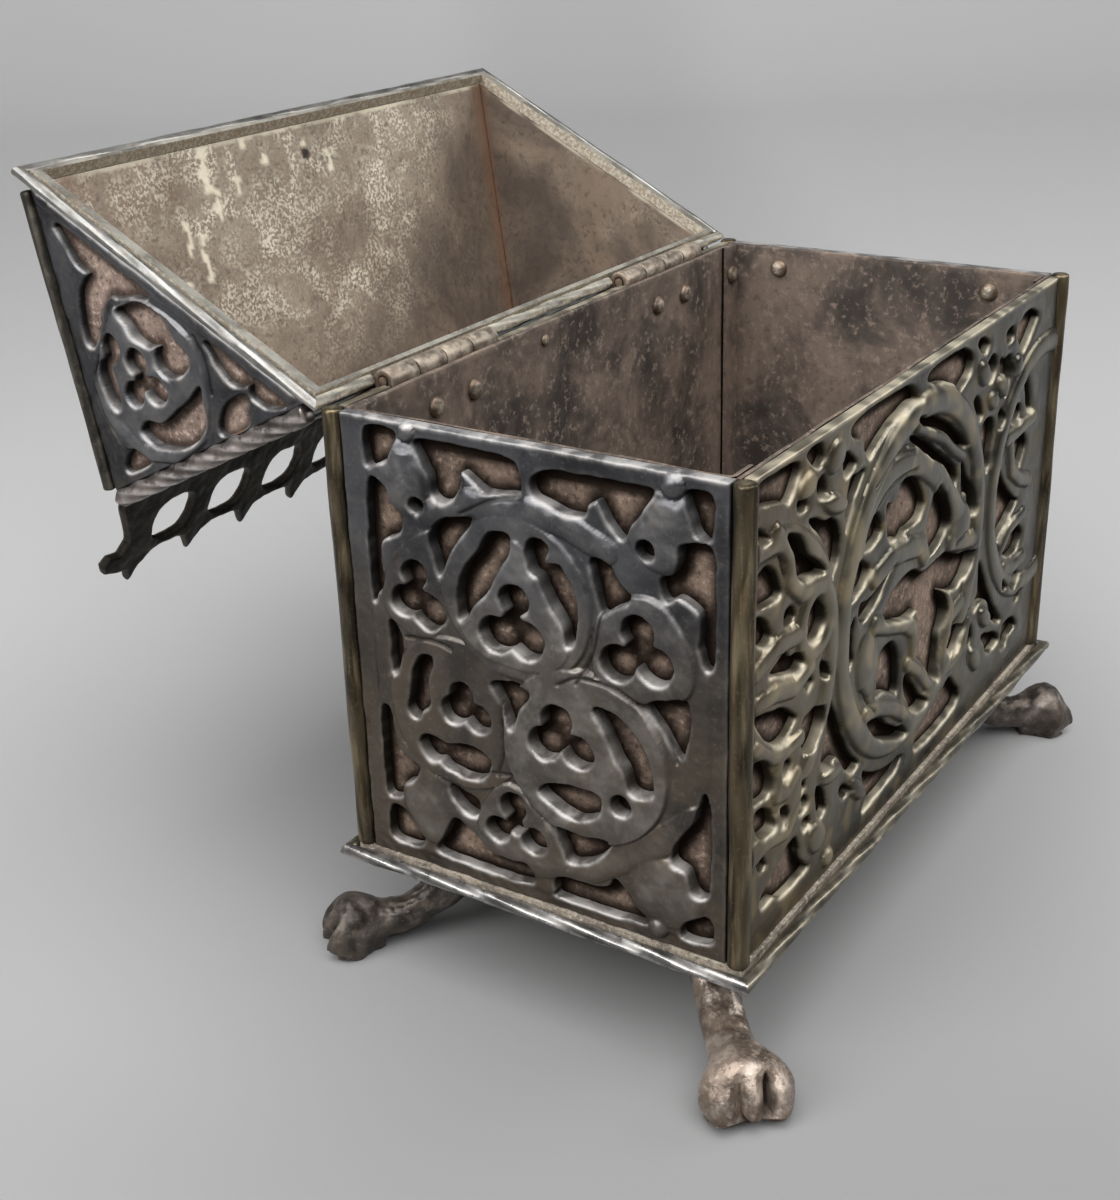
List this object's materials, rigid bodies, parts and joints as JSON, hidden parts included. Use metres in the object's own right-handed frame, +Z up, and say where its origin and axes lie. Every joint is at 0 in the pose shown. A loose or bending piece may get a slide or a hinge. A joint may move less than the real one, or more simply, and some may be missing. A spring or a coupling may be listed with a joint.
{
  "type": "wrought iron casket",
  "caption": "Gothic iron casket with pierced tracery panels, corner posts, twisted mouldings, paw feet and a hinged gabled lid with a crested ridge.",
  "frame": {"origin": "centre of the underside of the base plate", "axes": "+Z up, +X along the length, the front faces -Y and the lid hinges at +Y; the lid is stored open"},
  "size_m": [0.2358, 0.2287, 0.2005],
  "materials": {
    "sheet_iron": "rusted rough sheet",
    "tracery_iron": "worn dark satin",
    "bar_iron": "worn, rubbed bright on the edges",
    "foot_iron": "brown patina, rubbed",
    "hinge_iron": "brown rust",
    "crest_iron": "blackened"
  },
  "bodies": {
    "casket": {"base_plate": "sheet_iron", "base_bar_front": "bar_iron", "base_bar_back": "bar_iron", "base_bar_left": "bar_iron", "base_bar_right": "bar_iron", "wall_front": "sheet_iron", "wall_back": "sheet_iron", "wall_left": "sheet_iron", "wall_right": "sheet_iron", "panel_front": "tracery_iron", "panel_back": "tracery_iron", "panel_left": "tracery_iron", "panel_right": "tracery_iron", "post_front_left": "bar_iron", "post_front_right": "bar_iron", "post_back_left": "bar_iron", "post_back_right": "bar_iron", "foot_front_left": "foot_iron", "foot_front_right": "foot_iron", "foot_back_left": "foot_iron", "foot_back_right": "foot_iron", "hinge_leaf_body_left": "hinge_iron", "hinge_leaf_body_right": "hinge_iron", "hinge_pin_left": "bar_iron", "hinge_pin_right": "bar_iron", "rivet_hinge_left_outer": "hinge_iron", "rivet_hinge_left_inner": "hinge_iron", "rivet_hinge_right_outer": "hinge_iron", "rivet_hinge_right_inner": "hinge_iron", "rivet_flange": "hinge_iron", "rivet_small": "hinge_iron", "rivet_side_front": "hinge_iron", "rivet_side_back": "hinge_iron"},
    "lid": {"hinge_leaf_lid_left": "hinge_iron", "hinge_leaf_lid_right": "hinge_iron", "lid_rim": "bar_iron", "rim_bar_front": "bar_iron", "rim_bar_left": "bar_iron", "rim_bar_right": "bar_iron", "rim_bar_back_left": "bar_iron", "rim_bar_back_middle": "bar_iron", "rim_bar_back_right": "bar_iron", "lid_sheet_front": "sheet_iron", "lid_sheet_back": "sheet_iron", "lid_sheet_left": "sheet_iron", "lid_sheet_right": "sheet_iron", "lid_panel_front": "tracery_iron", "lid_panel_back": "tracery_iron", "lid_panel_left": "tracery_iron", "lid_panel_right": "tracery_iron", "hip_bar_front_left": "bar_iron", "hip_bar_front_right": "bar_iron", "hip_bar_back_left": "bar_iron", "hip_bar_back_right": "bar_iron", "ridge_crest": "crest_iron"}
  },
  "joints": [
    {"name": "lid_hinge", "type": "hinge", "parent": "casket", "child": "lid", "pos_m": [0, 0.0556, 0.122], "axis": [1, 0, 0], "range_deg": [0, 152.5]}
  ]
}
